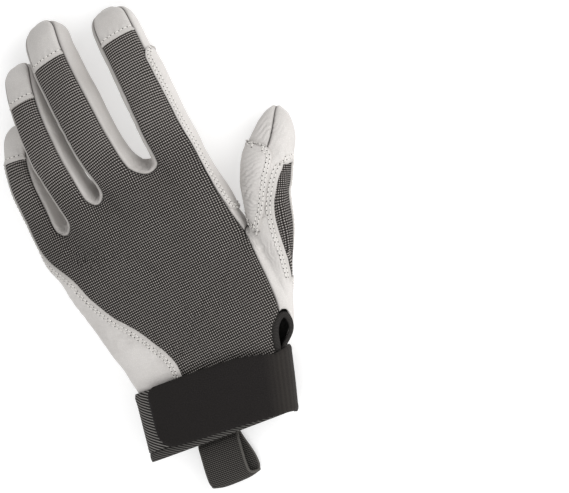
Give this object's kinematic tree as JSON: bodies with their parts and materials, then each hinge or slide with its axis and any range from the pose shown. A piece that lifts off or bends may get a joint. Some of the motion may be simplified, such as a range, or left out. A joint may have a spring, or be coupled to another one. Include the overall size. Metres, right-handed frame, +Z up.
{
  "type": "climbing glove",
  "caption": "Left-hand leather climbing glove with ribbed cloth back, capped fingertips, sewn side guards, elastic cuff, wrist strap and webbing pull loop.",
  "frame": {"origin": "centre of the bounding box at the level of the surface that the glove lies on", "axes": "+X towards the thumb side, +Y from the cuff to the fingertips, +Z up out of the back of the hand"},
  "size_m": [0.1504, 0.2534, 0.0354],
  "materials": {
    "leather": "fine-grained light grey leather",
    "cloth": "dark grey ribbed woven cloth",
    "elastic": "charcoal ribbed elastic",
    "hook_and_loop": "near black hook-and-loop strap",
    "tape": "dark woven webbing and binding"
  },
  "bodies": {
    "root": {"back_panel": "cloth", "thumb_patch": "cloth", "palm_panel": "leather", "pinky_side": "leather", "thumb_outer": "leather", "index_side": "leather", "fourchette_ring_pinky": "leather", "fourchette_middle_ring": "leather", "fourchette_index_middle": "leather", "cap_pinky": "leather", "cap_ring": "leather", "cap_middle": "leather", "cap_index": "leather", "index_guard": "leather", "pinky_guard": "leather", "thumb_guard": "leather", "cuff": "elastic", "cuff_hem": "tape", "strap": "hook_and_loop", "vent_binding": "tape", "pull_loop": "tape"}
  },
  "joints": []
}
